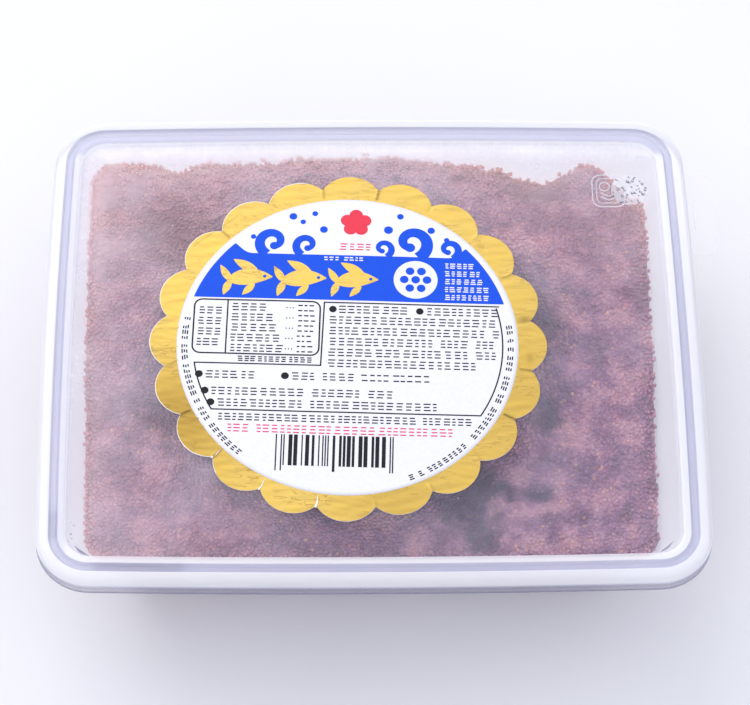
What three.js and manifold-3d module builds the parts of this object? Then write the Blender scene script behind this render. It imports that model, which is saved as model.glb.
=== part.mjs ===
// A shut rectangular tub of seasoned flying-fish roe: the milky tub, its clear press-on lid with a
// pull tab, the packed roe inside and a round scalloped gold seal stuck on the lid. Millimetres,
// +Z up, the origin on the floor under the middle of the whole pack, pull tab included.

import * as THREE from 'three';
import { mergeVertices } from 'three/addons/utils/BufferGeometryUtils.js';
import Module from 'manifold-3d';

// Lid, outside sizes. An inset is measured in from the outermost edge.
const LID_WIDTH = 166;
const LID_DEPTH = 136;
const PACK_HEIGHT = 41;
const LID_CORNER = 13;
const SIDE_BOW = 1.15;
const LID_WALL = 0.7;
const SKIRT_HEIGHT = 5.4;
const SKIRT_LEAN = 0.25;
const SHOULDER_ROUND = 2.4;
const GROOVE_OUTER = 3.3;
const GROOVE_INNER = 5.6;
const GROOVE_SLOPE = 0.55;
const GROOVE_DEPTH = 1.1;
const RIDGE_INNER = 7.2;
const PANEL_INSET = 8;
const PANEL_DROP = 1.4;
const PANEL_RING = 2;
const FILLET = 0.4;
const GROOVE_FILLET = 0.3;

// Pull tab on the lid's right side, towards the far corner
const TAB_REACH = 7;
const TAB_LENGTH = 25;
const TAB_MIDDLE = 40;
const TAB_CORNER = 4;
const TAB_THICKNESS = 0.9;
const RIB_LENGTH = 11;
const RIB_WIDTH = 0.8;
const RIB_HEIGHT = 0.3;
const RIB_OFFSET = 1.6;

// Tub, a sheet of even thickness from the recessed base up to the flange under the lid
const TUB_WALL = 0.8;
const CLEARANCE = 0.3;
const FLANGE_INSET = 2.4;
const LIP_HEIGHT = 1.5;
const WALL_TOP_INSET = 7.3;
const WALL_DRAFT = THREE.MathUtils.degToRad(17);
const WALL_CORNER = 6;
const CORNER_GROWTH = 0.25;
const BASE_ROUND = 5;
const FOOT_WIDTH = 8;
const BASE_RECESS = 0.8;
const RECESS_RING = 3;

// Gold seal
const SEAL_RADIUS = 50;
const SEAL_VALLEY = 46.4;
const SCALLOPS = 20;
const SEAL_TURN = THREE.MathUtils.degToRad(16.2);
const SEAL_MIDDLE = [-6, -0.4];
const SEAL_THICKNESS = 0.2;
const SEAL_LIFT = 0.05;

// Roe: the fill tilts up towards the far side and falls away to the left and right walls
const ROE_DROP = 5.4;
const ROE_TILT = 0.072;
const LEFT_FALL = 1.2;
const RIGHT_FALL = 4.2;
const LEFT_CURVE = 2;
const RIGHT_CURVE = 1.5;
const EDGE_FALL = 2.2;
const EDGE_REACH = 3.5;
const ROE_GRID = 3.2;
const ROE_GRAIN = 0.35;
const GRAIN_WAVES = [[5.1, 1.3], [-0.9, 4.3]];
const BLOCK_FLOOR = -5;
const CLUMP_COUNT = 110;
const CLUMP_SEED = 20;
const CLUMP_RADIUS = [2.5, 6];
const CLUMP_RISE = [-1, 1.4];

// Mounds and hollows that stand out in the roe: x, y, radius and rise
const ROE_FEATURES = [
  [47, 29, 5, 2],
  [-20, 53, 9, 1.4],
  [0, 56, 13, 2],
  [57, 53, 5, 4.5],
  [-66, 52, 7, 2],
  [60, -35, 9, 1.5],
  [-12, -50, 8, 2],
  [50, -10, 8, 1.5],
  [-50, 56, 4, -2.5],
  [-52, 30, 12, -2.5],
  [38, -33, 9, -4],
  [43, 8, 7, -3],
  [38, 22, 5, -2],
  [-52, -17, 8, -2],
  [20, -48, 8, -3],
  [42, 54, 9, -3],
  [69, 54, 6, -4],
];

// Mesh fineness
const CORNER_STEPS = 7;
const SIDE_STEPS = 3;
const ROUND_STEPS = 2;
const SHOULDER_STEPS = 4;
const SCALLOP_STEPS = 4;
const TAB_STEPS = 4;
const LEAST_ROUNDING = 0.05;
const WELD = 1e-4;

const LID_UNDERSIDE = PACK_HEIGHT - PANEL_DROP - LID_WALL;
const FLANGE_TOP = LID_UNDERSIDE - CLEARANCE;
const SKIRT_BOTTOM = PACK_HEIGHT - SKIRT_HEIGHT;

const wasm = await Module();
wasm.setup();

// Outline of the pack seen from above, counter-clockwise, with its sides bowed outward
function bowed(x, y) {
  const bowX = (SIDE_BOW / (LID_WIDTH / 2)) * (y / (LID_DEPTH / 2)) ** 2;
  const bowY = (SIDE_BOW / (LID_DEPTH / 2)) * (x / (LID_WIDTH / 2)) ** 2;
  return [x * (1 - bowX), y * (1 - bowY)];
}

// The corner radius shrinks with the inset down to the tub's wall, then grows towards the base
function cornerRadius(inset) {
  return Math.max(LID_CORNER - inset, WALL_CORNER + CORNER_GROWTH * (inset - WALL_TOP_INSET));
}

function planRing(inset, z) {
  const radius = cornerRadius(inset);
  const middleX = LID_WIDTH / 2 - inset - radius;
  const middleY = LID_DEPTH / 2 - inset - radius;
  const arcs = [[1, 1], [-1, 1], [-1, -1], [1, -1]].map(([signX, signY], quarter) =>
    Array.from({ length: CORNER_STEPS + 1 }, (_, step) => {
      const angle = (quarter + step / CORNER_STEPS) * (Math.PI / 2);
      return [signX * middleX + radius * Math.cos(angle), signY * middleY + radius * Math.sin(angle)];
    }));
  const ring = arcs.flatMap((arc, quarter) => {
    const [startX, startY] = arc[CORNER_STEPS];
    const [endX, endY] = arcs[(quarter + 1) % 4][0];
    const side = Array.from({ length: SIDE_STEPS }, (_, step) => {
      const share = (step + 1) / (SIDE_STEPS + 1);
      return [startX + (endX - startX) * share, startY + (endY - startY) * share];
    });
    return [...arc, ...side];
  });
  return ring.map(([x, y]) => [...bowed(x, y), z]);
}

// Profiles are lists of [inset, height, rounding] corners. Each rounded corner becomes a short curve.
function rounded(corners) {
  return corners.flatMap(([inset, z, rounding], index) => {
    if (!rounding) {
      return [[inset, z]];
    }
    const here = new THREE.Vector2(inset, z);
    const [start, end] = [index - 1, index + 1].map((next) => {
      const leg = new THREE.Vector2(corners[next][0], corners[next][1]).sub(here);
      return here.clone().add(leg.setLength(rounding));
    });
    const steps = rounding > 1 ? SHOULDER_STEPS : ROUND_STEPS;
    return new THREE.QuadraticBezierCurve(start, here, end).getPoints(steps).map((p) => [p.x, p.y]);
  });
}

// The same profile moved sideways by a distance, to the left of its direction. The rounding of a
// corner shrinks on its inner side and grows on its outer side.
function offsetProfile(corners, distance) {
  const normals = corners.slice(1).map(([inset, z], index) => {
    const step = new THREE.Vector2(inset - corners[index][0], z - corners[index][1]).normalize();
    return new THREE.Vector2(-step.y, step.x);
  });
  return corners.map(([inset, z, rounding], index) => {
    const before = normals[Math.max(index - 1, 0)];
    const after = normals[Math.min(index, normals.length - 1)];
    const mitre = before.clone().add(after).multiplyScalar(distance / (1 + before.dot(after)));
    const shrink = (distance * before.cross(after)) / (1 + before.dot(after));
    return [inset + mitre.x, z + mitre.y, rounding && Math.max(rounding - shrink, LEAST_ROUNDING)];
  });
}

// A closed body: one ring for each profile point, with a flat cap inside the first and last ring
function loft(profile) {
  const rings = profile.map(([inset, z]) => planRing(inset, z));
  const count = rings[0].length;
  const points = rings.flat();
  const faces = [];
  for (let level = 0; level + 1 < rings.length; level += 1) {
    for (let k = 0; k < count; k += 1) {
      const a = level * count + k;
      const b = level * count + (k + 1) % count;
      faces.push([a, b, b + count], [a, b + count, a + count]);
    }
  }
  const last = (rings.length - 1) * count;
  points.push([0, 0, profile[0][1]], [0, 0, profile.at(-1)[1]]);
  for (let k = 0; k < count; k += 1) {
    const next = (k + 1) % count;
    faces.push([points.length - 2, next, k], [points.length - 1, last + k, last + next]);
  }
  const geometry = new THREE.BufferGeometry();
  geometry.setAttribute('position', new THREE.Float32BufferAttribute(points.flat(), 3));
  geometry.setIndex(faces.flat());
  geometry.computeVertexNormals();
  return geometry;
}

function solid(geometry) {
  const bare = geometry.clone();
  bare.deleteAttribute('normal');
  bare.deleteAttribute('uv');
  const merged = mergeVertices(bare, WELD);
  return new wasm.Manifold(new wasm.Mesh({
    numProp: 3,
    vertProperties: new Float32Array(merged.attributes.position.array),
    triVerts: new Uint32Array(merged.index.array),
  }));
}

function geometryOf(manifold) {
  const mesh = manifold.getMesh();
  const geometry = new THREE.BufferGeometry();
  geometry.setAttribute('position', new THREE.BufferAttribute(mesh.vertProperties, 3));
  geometry.setIndex(new THREE.BufferAttribute(mesh.triVerts, 1));
  geometry.computeVertexNormals();
  return geometry;
}

// Lid: panel, ridge, groove and skirt are one sheet, with the pull tab fused to the skirt's foot
function lidGeometry() {
  const panel = PACK_HEIGHT - PANEL_DROP;
  const grooveFloor = PACK_HEIGHT - GROOVE_DEPTH;
  const outside = [
    [PANEL_INSET + PANEL_RING, panel],
    [PANEL_INSET, panel, FILLET],
    [RIDGE_INNER, PACK_HEIGHT, FILLET],
    [GROOVE_INNER, PACK_HEIGHT, GROOVE_FILLET],
    [GROOVE_INNER - GROOVE_SLOPE, grooveFloor],
    [GROOVE_OUTER + GROOVE_SLOPE, grooveFloor],
    [GROOVE_OUTER, PACK_HEIGHT, GROOVE_FILLET],
    [SKIRT_LEAN, PACK_HEIGHT, SHOULDER_ROUND],
    [0, SKIRT_BOTTOM],
  ];
  const inside = offsetProfile(outside, LID_WALL);
  inside.at(-1)[1] = SKIRT_BOTTOM;
  const sheet = loft([...rounded(inside), ...rounded(outside).reverse()]);
  return geometryOf(solid(sheet).add(solid(tabGeometry())).add(solid(ribGeometry())));
}

// The tab's inner edge runs inside the skirt's wall and follows its bow
function tabGeometry() {
  const low = TAB_MIDDLE - TAB_LENGTH / 2;
  const high = TAB_MIDDLE + TAB_LENGTH / 2;
  const outer = LID_WIDTH / 2 + TAB_REACH;
  const shape = new THREE.Shape();
  shape.moveTo(bowed(LID_WIDTH / 2 - LID_WALL / 2, low)[0], low);
  shape.lineTo(outer - TAB_CORNER, low);
  shape.absarc(outer - TAB_CORNER, low + TAB_CORNER, TAB_CORNER, -Math.PI / 2, 0);
  shape.absarc(outer - TAB_CORNER, high - TAB_CORNER, TAB_CORNER, 0, Math.PI / 2);
  for (let step = 0; step < TAB_STEPS; step += 1) {
    const y = high - (TAB_LENGTH * step) / TAB_STEPS;
    shape.lineTo(bowed(LID_WIDTH / 2 - LID_WALL / 2, y)[0], y);
  }
  shape.closePath();
  const tab = new THREE.ExtrudeGeometry(
    shape, { depth: TAB_THICKNESS, bevelEnabled: false, curveSegments: TAB_STEPS });
  return tab.translate(0, 0, SKIRT_BOTTOM);
}

function ribGeometry() {
  const rib = new THREE.BoxGeometry(RIB_WIDTH, RIB_LENGTH, 2 * RIB_HEIGHT);
  return rib.translate(LID_WIDTH / 2 + RIB_OFFSET, TAB_MIDDLE, SKIRT_BOTTOM + TAB_THICKNESS);
}

// Tub: the outer surface from the base's recess up the wall and out under the lid
function tubOutside() {
  const underFlange = FLANGE_TOP - TUB_WALL;
  const baseInset = WALL_TOP_INSET + underFlange * Math.tan(WALL_DRAFT);
  return [
    [baseInset + FOOT_WIDTH + RECESS_RING, BASE_RECESS],
    [baseInset + FOOT_WIDTH + BASE_RECESS, BASE_RECESS],
    [baseInset + FOOT_WIDTH, 0],
    [baseInset, 0, BASE_ROUND],
    [WALL_TOP_INSET, underFlange, FILLET],
    [FLANGE_INSET, underFlange],
    [FLANGE_INSET, underFlange - LIP_HEIGHT],
  ];
}

function tubGeometry() {
  const inside = offsetProfile(tubOutside(), -TUB_WALL);
  return loft([...rounded(tubOutside()), ...rounded(inside).reverse()]);
}

// Small seeded random numbers between 0 and 1
function randomSource(seed) {
  let state = seed;
  return () => {
    state = (state + 0x6d2b79f5) | 0;
    let mixed = Math.imul(state ^ (state >>> 15), 1 | state);
    mixed = (mixed + Math.imul(mixed ^ (mixed >>> 7), 61 | mixed)) ^ mixed;
    return ((mixed ^ (mixed >>> 14)) >>> 0) / 2 ** 32;
  };
}

const random = randomSource(CLUMP_SEED);
const clumps = Array.from({ length: CLUMP_COUNT }, () => [
  (random() - 0.5) * LID_WIDTH,
  (random() - 0.5) * LID_DEPTH,
  THREE.MathUtils.lerp(...CLUMP_RADIUS, random()),
  THREE.MathUtils.lerp(...CLUMP_RISE, random()),
]);

function roeHeight(x, y) {
  const wallInset = WALL_TOP_INSET + TUB_WALL + CLEARANCE + ROE_DROP * Math.tan(WALL_DRAFT);
  const wallX = LID_WIDTH / 2 - wallInset;
  const wallY = LID_DEPTH / 2 - wallInset;
  const sideways = x / wallX;
  const fall = x < 0
    ? LEFT_FALL * Math.abs(sideways) ** LEFT_CURVE
    : RIGHT_FALL * sideways ** RIGHT_CURVE;
  const wallGap = Math.max(Math.min(wallX - Math.abs(x), wallY - Math.abs(y)), 0);
  const edge = EDGE_FALL * Math.exp(-wallGap / EDGE_REACH);
  let z = PACK_HEIGHT - ROE_DROP + ROE_TILT * y - fall - edge;
  for (const [lumpX, lumpY, radius, rise] of [...ROE_FEATURES, ...clumps]) {
    z += rise * Math.exp(-((x - lumpX) ** 2 + (y - lumpY) ** 2) / radius ** 2);
  }
  const [first, second] = GRAIN_WAVES.map(([waveX, waveY]) => Math.sin(waveX * x + waveY * y));
  return Math.min(z + ROE_GRAIN * first * second, LID_UNDERSIDE - CLEARANCE);
}

// Roe: a block with a lumpy top, cut to the tub's hollow
function roeGeometry() {
  const block = new THREE.BoxGeometry(
    LID_WIDTH, LID_DEPTH, 1, Math.round(LID_WIDTH / ROE_GRID), Math.round(LID_DEPTH / ROE_GRID), 1);
  const position = block.attributes.position;
  for (let k = 0; k < position.count; k += 1) {
    const top = position.getZ(k) > 0;
    position.setZ(k, top ? roeHeight(position.getX(k), position.getY(k)) : BLOCK_FLOOR);
  }
  const hollow = offsetProfile(tubOutside().slice(0, 5), -TUB_WALL - CLEARANCE);
  hollow.push([hollow.at(-1)[0], PACK_HEIGHT]);
  return geometryOf(solid(block).intersect(solid(loft(rounded(hollow)))));
}

// Seal: equal scallops, each an arc through two valleys and a peak
function sealGeometry() {
  const halfStep = Math.PI / SCALLOPS;
  const chord = SEAL_VALLEY * Math.sin(halfStep);
  const rise = SEAL_RADIUS - SEAL_VALLEY * Math.cos(halfStep);
  const radius = (chord ** 2 + rise ** 2) / (2 * rise);
  const middle = SEAL_RADIUS - radius;
  const spread = Math.atan2(chord, SEAL_VALLEY * Math.cos(halfStep) - middle);
  const shape = new THREE.Shape();
  for (let k = 0; k < SCALLOPS; k += 1) {
    const angle = SEAL_TURN + 2 * halfStep * k;
    shape.absarc(middle * Math.cos(angle), middle * Math.sin(angle), radius, angle - spread, angle + spread);
  }
  const seal = new THREE.ExtrudeGeometry(
    shape, { depth: SEAL_THICKNESS, bevelEnabled: false, curveSegments: SCALLOP_STEPS });
  return geometryOf(solid(seal));
}

function addPart(parent, name, geometry, look) {
  const mesh = new THREE.Mesh(geometry, new THREE.MeshStandardMaterial(look));
  mesh.name = name;
  parent.add(mesh);
  return mesh;
}

const group = new THREE.Group();
addPart(group, 'tub', tubGeometry(), { color: 0xeeeef6, roughness: 0.35, transparent: true, opacity: 0.7 });
addPart(group, 'lid', lidGeometry(), { color: 0xe6e8f6, roughness: 0.2, transparent: true, opacity: 0.35 });
addPart(group, 'roe', roeGeometry(), { color: 0x9c4f4c, roughness: 0.35 });
const seal = addPart(group, 'label', sealGeometry(), { color: 0xe2bd5c, roughness: 0.35, metalness: 0.8 });
seal.position.set(...SEAL_MIDDLE, PACK_HEIGHT - PANEL_DROP + SEAL_LIFT);
group.position.x = -TAB_REACH / 2;

export default group;
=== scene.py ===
import math

import bpy
import numpy as np
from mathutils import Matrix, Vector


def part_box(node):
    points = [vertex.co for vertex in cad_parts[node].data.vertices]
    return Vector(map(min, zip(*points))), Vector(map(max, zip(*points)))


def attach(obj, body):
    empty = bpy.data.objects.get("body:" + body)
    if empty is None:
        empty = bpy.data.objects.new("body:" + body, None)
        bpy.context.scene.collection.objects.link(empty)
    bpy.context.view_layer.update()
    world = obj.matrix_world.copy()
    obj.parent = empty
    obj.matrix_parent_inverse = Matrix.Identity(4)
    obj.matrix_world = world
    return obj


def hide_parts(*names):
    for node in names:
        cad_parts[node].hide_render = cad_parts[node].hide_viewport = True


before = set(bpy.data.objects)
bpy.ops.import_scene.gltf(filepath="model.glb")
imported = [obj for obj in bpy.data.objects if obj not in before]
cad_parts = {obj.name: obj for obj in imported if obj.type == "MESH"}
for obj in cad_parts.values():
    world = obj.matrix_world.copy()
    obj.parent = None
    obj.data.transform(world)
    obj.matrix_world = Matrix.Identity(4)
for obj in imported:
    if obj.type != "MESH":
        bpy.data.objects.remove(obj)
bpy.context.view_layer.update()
print("frame loaded")

mm = 0.001
tubLow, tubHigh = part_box("tub")
packMiddle = (tubLow.x + tubHigh.x) / 2 / mm   # the pull tab moves the lid's middle off the origin

# Sizes in millimetres, heights from the floor, x and y from the lid's middle
pack = {
    "width": 166, "depth": 136, "height": 41, "corner": 13, "bow": 1.15,
    "wallCorner": 6, "cornerGrowth": 0.25, "wallTopInset": 7.3, "wallDraft": math.radians(17),
}
halfWidth, halfDepth = pack["width"] / 2, pack["depth"] / 2


def toLinear(code):
    # sRGB hex to a linear colour: (s + 0.055) / 1.055 to the power 2.4, or s / 12.92 when dark
    shares = [int(code[k:k + 2], 16) / 255 for k in (1, 3, 5)]
    return (*[s / 12.92 if s <= 0.04045 else ((s + 0.055) / 1.055) ** 2.4 for s in shares], 1)


def startMaterial(name):
    # A new material, given back as the one function that adds a node to it. Inputs map a socket
    # to a number, a hex colour or another node's output, and stops fill a colour ramp. The call
    # gives back the node's output, and the material itself where the node has none.
    material = bpy.data.materials.new(name)
    material.use_nodes = True
    tree = material.node_tree
    tree.nodes.clear()

    def add(kind, inputs=None, out=0, stops=(), **settings):
        node = tree.nodes.new("ShaderNode" + kind)
        for key, value in settings.items():
            setattr(node, key, value)
        for socket, value in (inputs or {}).items():
            if isinstance(value, bpy.types.NodeSocket):
                tree.links.new(value, node.inputs[socket])
            else:
                node.inputs[socket].default_value = toLinear(value) if isinstance(value, str) else value
        for _ in stops[2:]:
            node.color_ramp.elements.new(0.5)
        for k, (place, colour) in enumerate(stops):
            node.color_ramp.elements[k].position = place
            node.color_ramp.elements[k].color = (toLinear(colour) if isinstance(colour, str)
                                                 else (colour, colour, colour, 1))
        return node.outputs[out] if node.outputs else material
    return add


def smoothStep(x):
    # 0 below 0, 1 above 1, and 3x² - 2x³ between
    x = np.clip(x, 0, 1)
    return x * x * (3 - 2 * x)


def bell(x, y, middleX, middleY, radius):
    # exp(-distance² / radius²) from a middle
    return np.exp(-((x - middleX) ** 2 + (y - middleY) ** 2) / radius ** 2)


def waves(x, y, count, length, seed, lean=0, spread=math.pi):
    # Sum of sine waves of random direction and phase, of about the given lengths, from -1 to 1
    draw = np.random.default_rng(seed)
    total = np.zeros_like(x)
    for _ in range(count):
        size = draw.uniform(*length)
        turn = draw.uniform(-spread, spread) + lean
        total += np.sin((x * math.cos(turn) + y * math.sin(turn)) * 2 * math.pi / size
                        + draw.uniform(0, 2 * math.pi))
    return total / math.sqrt(count) / 1.6


def stacked(*parts):
    # Arrays brought to one shape and set side by side along a new last axis
    return np.stack(np.broadcast_arrays(*parts), axis=-1)


def addObject(name, data):
    thing = bpy.data.objects.new(name, data)
    bpy.context.scene.collection.objects.link(thing)
    return thing


def addPiece(name, points, faceSets, materials, values=None, slots=None, sharp=35):
    # Points are n x 3 millimetres from the lid's middle; faceSets are arrays of triangles or quads
    points = np.asarray(points, dtype=float) + (packMiddle, 0, 0)
    sizes = np.concatenate([np.full(len(faces), faces.shape[1]) for faces in faceSets])
    corners = np.concatenate([faces.ravel() for faces in faceSets])
    mesh = bpy.data.meshes.new(name)
    mesh.vertices.add(len(points))
    mesh.vertices.foreach_set("co", (points * mm).ravel())
    mesh.loops.add(len(corners))
    mesh.loops.foreach_set("vertex_index", corners.astype(np.int32))
    mesh.polygons.add(len(sizes))
    starts = np.concatenate([[0], np.cumsum(sizes)[:-1]])
    mesh.polygons.foreach_set("loop_start", starts.astype(np.int32))
    mesh.polygons.foreach_set("use_smooth", np.ones(len(sizes), dtype=bool))
    for key, value in (values or {}).items():
        layer = mesh.attributes.new(key, "FLOAT", "POINT")
        layer.data.foreach_set("value", np.asarray(value, dtype=np.float32))
    for material in materials:
        mesh.materials.append(material)
    if slots is not None:
        mesh.polygons.foreach_set("material_index", slots.astype(np.int32))
    mesh.update(calc_edges=True)
    if sharp:
        mesh.set_sharp_from_angle(angle=math.radians(sharp))
    piece = addObject(name, mesh)
    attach(piece, "root")
    return piece


def ringFaces(levels, count):
    # Quads between each ring and the next, wrapping round
    level, k = np.meshgrid(np.arange(levels - 1), np.arange(count), indexing="ij")
    a = level * count + k
    b = level * count + (k + 1) % count
    return stacked(a, b, b + count, a + count).reshape(-1, 4)


def closedRings(rings):
    # A closed body from rings (levels x count x 3): each end closes on the middle of its ring
    levels, count = rings.shape[:2]
    points = np.concatenate([rings.reshape(-1, 3), rings[0].mean(0)[None], rings[-1].mean(0)[None]])
    k, last = np.arange(count), (levels - 1) * count
    after = (k + 1) % count
    ends = [stacked(len(points) - 2, after, k), stacked(len(points) - 1, last + k, last + after)]
    return points, [ringFaces(levels, count), np.concatenate(ends)]


def bowShares(x, y):
    # Each side bows outward: x shrinks with the square of y, and y with the square of x
    return (1 - pack["bow"] / halfWidth * (y / halfDepth) ** 2,
            1 - pack["bow"] / halfDepth * (x / halfWidth) ** 2)


def packRings(profile, cornerSteps, sideSteps):
    # One rounded rectangle for each (inset, height), counter-clockwise from above, then bowed
    inset, height = (np.asarray(profile)[:, k, None, None] for k in (0, 1))
    radius = np.maximum(pack["corner"] - inset,
                        pack["wallCorner"] + pack["cornerGrowth"] * (inset - pack["wallTopInset"]))
    angle = (np.arange(4)[None, :, None] + np.linspace(0, 1, cornerSteps + 1)) * math.pi / 2
    share = np.linspace(0, 1, sideSteps + 2)[1:-1]
    places = []
    for half, signs, wave in ((halfWidth, (1, -1, -1, 1), np.cos), (halfDepth, (1, 1, -1, -1), np.sin)):
        arc = np.array(signs)[None, :, None] * (half - inset - radius) + radius * wave(angle)
        end = arc[:, :, -1:]
        side = end + (np.roll(arc, -1, axis=1)[:, :, :1] - end) * share
        places.append(np.concatenate([arc, side], axis=2).reshape(len(inset), -1))
    x, y = places
    shareX, shareY = bowShares(x, y)
    return stacked(x * shareX, y * shareY, height[:, :, 0])


def shrunk(ring, shares):
    # The same ring drawn in towards its middle by each share, at its own height
    return ring * (1, 1, 0) * shares[:, None, None] + ring * (0, 0, 1)


def perRing(values, rings):
    # A value for each ring becomes one for each point, with the two end middles last
    return np.concatenate([np.repeat(values, rings.shape[1]), values[[0, -1]]])


def roundedProfile(corners):
    # Each (inset, height, rounding) corner becomes a quadratic curve that starts and ends
    # its rounding away from the corner
    path = []
    for k, (inset, height, *rest) in enumerate(corners):
        here = np.array([inset, height])
        if not rest or not rest[0]:
            path.append(here[None])
            continue
        ends = [np.array(corners[n][:2]) - here for n in (k - 1, k + 1)]
        start, end = (here + leg / np.linalg.norm(leg) * rest[0] for leg in ends)
        t = np.linspace(0, 1, 7)[:, None]
        path.append((1 - t) ** 2 * start + 2 * t * (1 - t) * here + t ** 2 * end)
    return np.concatenate(path)


def offsetProfile(corners, distance):
    # The same profile moved to the left of its direction, mitred at each corner. A rounding
    # shrinks on its inner side and grows on its outer side.
    places = np.array([corner[:2] for corner in corners], dtype=float)
    steps = np.diff(places, axis=0)
    steps /= np.linalg.norm(steps, axis=1)[:, None]
    normals = stacked(-steps[:, 1], steps[:, 0])
    moved = []
    for k, corner in enumerate(corners):
        before, after = normals[max(k - 1, 0)], normals[min(k, len(normals) - 1)]
        share = distance / (1 + before @ after)
        rounding = corner[2] if len(corner) > 2 else 0
        if rounding:
            rounding = max(rounding - share * (before[0] * after[1] - before[1] * after[0]), 0.05)
        moved.append((*(places[k] + (before + after) * share), rounding))
    return moved


view = {"place": (-16.045, -363.701, 661.119), "turn": (0.526, -0.0138, -0.0129), "lens": 137.42}
cameraData = bpy.data.cameras.new("camera")
cameraData.lens = view["lens"]
cameraData.sensor_width = 36
cameraData.clip_end = 20
camera = addObject("camera", cameraData)
camera.location = [k * mm for k in view["place"]]
camera.rotation_euler = view["turn"]
bpy.context.scene.camera = camera
bpy.context.scene.view_settings.view_transform = "Standard"

light = {"skyColour": "#f6f8ff", "sky": 1.2, "lampColour": "#fffcf6", "lamp": 28.5, "lampSize": 2.0,
         "lampPlace": (-0.88, 1.48, 1.56)}
world = bpy.data.worlds.new("softRoom")
world.use_nodes = True
world.node_tree.nodes["Background"].inputs["Color"].default_value = toLinear(light["skyColour"])
world.node_tree.nodes["Background"].inputs["Strength"].default_value = light["sky"]
bpy.context.scene.world = world
lampData = bpy.data.lights.new("windowLamp", "AREA")
lampData.shape = "SQUARE"
lampData.size = light["lampSize"]
lampData.energy = light["lamp"]
lampData.color = toLinear(light["lampColour"])[:3]
lamp = addObject("windowLamp", lampData)
lamp.location = light["lampPlace"]
lamp.rotation_euler = (-lamp.location).to_track_quat("-Z", "Y").to_euler()


def paleLacquer():
    # Matte white table lacquer: plain, with a very faint mottle
    add = startMaterial("paleTableLacquer")
    mottle = add("TexNoise", {"Vector": add("TexCoord", out="Object"), "Scale": 9.0})
    colour = add("ValToRGB", {0: mottle}, stops=[(0.3, "#d7d8dd"), (0.7, "#dadbe0")])
    skin = add("BsdfPrincipled", {"Base Color": colour, "Roughness": 0.55, "Specular IOR Level": 0.2})
    return add("OutputMaterial", {"Surface": skin})


floorMesh = bpy.data.meshes.new("tableTop")
floorMesh.from_pydata([(-3, -3, 0), (3, -3, 0), (3, 3, 0), (-3, 3, 0)], [], [(0, 1, 2, 3)])
floorMesh.materials.append(paleLacquer())
addObject("tableTop", floorMesh)
print("camera, light and floor made")


lid = {
    "wall": 0.7, "skirt": 5.4, "lean": 0.25, "shoulder": 2.4, "grooveOuter": 3.3, "grooveInner": 5.6,
    "grooveSlope": 0.55, "grooveDepth": 1.1, "ridgeInner": 7.2, "panelInset": 8, "panelDrop": 1.4,
    "warp": 0.1, "cornerSteps": 18, "sideSteps": 56, "panelRings": 14,
    "fog": 0.95, "fogEven": 0.13, "fogFar": 0.13, "fogLeft": 0.12, "litStrip": 0.36,
    "fogHole": 0.19, "fogHolePlace": (-47, 32, 15), "milkRim": 0.54, "milkSkirt": -0.28,
    "milkBend": 0.2, "milkFoot": 0.4, "tabReach": 7, "tabLength": 25, "tabMiddle": 40, "tabCorner": 4,
    "tabThickness": 0.9, "tabSteps": 40, "ribLength": 11, "ribWidth": 0.8, "ribHeight": 0.3,
    "ribOffset": 1.6,
}
panelTop = pack["height"] - lid["panelDrop"]
skirtBottom = pack["height"] - lid["skirt"]


def panelWarp(x, y):
    # The thin panel is never quite flat: slow waves that fade out towards the ridge
    reach = np.minimum(halfWidth - np.abs(x), halfDepth - np.abs(y)) - lid["panelInset"]
    return lid["warp"] * waves(x, y, 7, (38, 80), 5) * smoothStep(reach / 12)


def throughPlastic(add, colour, rough, normal, glowShare, share):
    # Plastic with a skin and light that passes through it, mixed over clear by its share
    skin = add("BsdfPrincipled", {"Base Color": colour, "Roughness": rough, "IOR": 1.49,
                                  "Normal": normal})
    glow = add("BsdfTranslucent", {"Color": colour})
    body = add("MixShader", {0: glowShare, 1: skin, 2: glow})
    clear = add("BsdfTransparent", {"Color": (1, 1, 1, 1)})
    return add("OutputMaterial", {"Surface": add("MixShader", {0: share, 1: clear, 2: body})})


def clearPolypropylene():
    # Clear polypropylene, injection moulded: see-through, with a lilac veil of fog on the panel in soft
    # patches and fine upright streaks, a whitish rim with painted shade in its groove and on its skirt,
    # and gloss along its edges as a painted highlight, where the white share grows at grazing angles
    add = startMaterial("clearPolypropyleneMoulded")
    place = add("TexCoord", out="Object")
    fog, milk, tint = [add("Attribute", out="Fac", attribute_name=key) for key in ("fog", "milk", "tint")]
    patch = add("TexNoise", {"Vector": place, "Scale": 1 / 0.022, "Detail": 4.0, "Roughness": 0.6})
    streakPlace = add("Mapping", {"Vector": place, "Scale": (1 / 0.0012, 1 / 0.03, 1)})
    streak = add("TexNoise", {"Vector": streakPlace, "Scale": 1.0, "Detail": 2.0})
    speck = add("TexNoise", {"Vector": place, "Scale": 1 / 0.0011, "Detail": 1.0})
    share = fog
    for noise, stops in ((patch, [(0.32, 0.6), (0.68, 1.4)]), (streak, [(0.4, 1.0), (0.75, 1.06)]),
                         (speck, [(0.62, 1.0), (0.75, 1.15)])):
        uneven = add("ValToRGB", {0: noise}, stops=stops)
        share = add("Math", {0: share, 1: uneven}, operation="MULTIPLY")
    share = add("Math", {0: share, 1: milk}, operation="ADD")
    # painted highlight: the white share grows at grazing angles, for the gloss along the edges
    facing = add("LayerWeight", {"Blend": 0.5}, "Facing")
    edge = add("Math", {0: facing, 1: 4.0}, operation="POWER")
    share = add("Math", {0: share, 1: edge}, operation="ADD", use_clamp=True)
    # tint 0.8 and above darkens to lilac and grey mauve: painted shade on the groove, the skirt and the
    # domes, and the own colour of the wet marks
    colour = add("ValToRGB", {0: tint}, stops=[(0.0, "#dedbee"), (0.5, "#f1f2f8"), (0.8, "#b6b8d8"),
                                               (1.0, "#7e7c98")])
    bump = add("Bump", {"Height": streak, "Strength": 0.15, "Distance": 0.0001})
    return throughPlastic(add, colour, 0.16, bump, 0.2, share)


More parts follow.
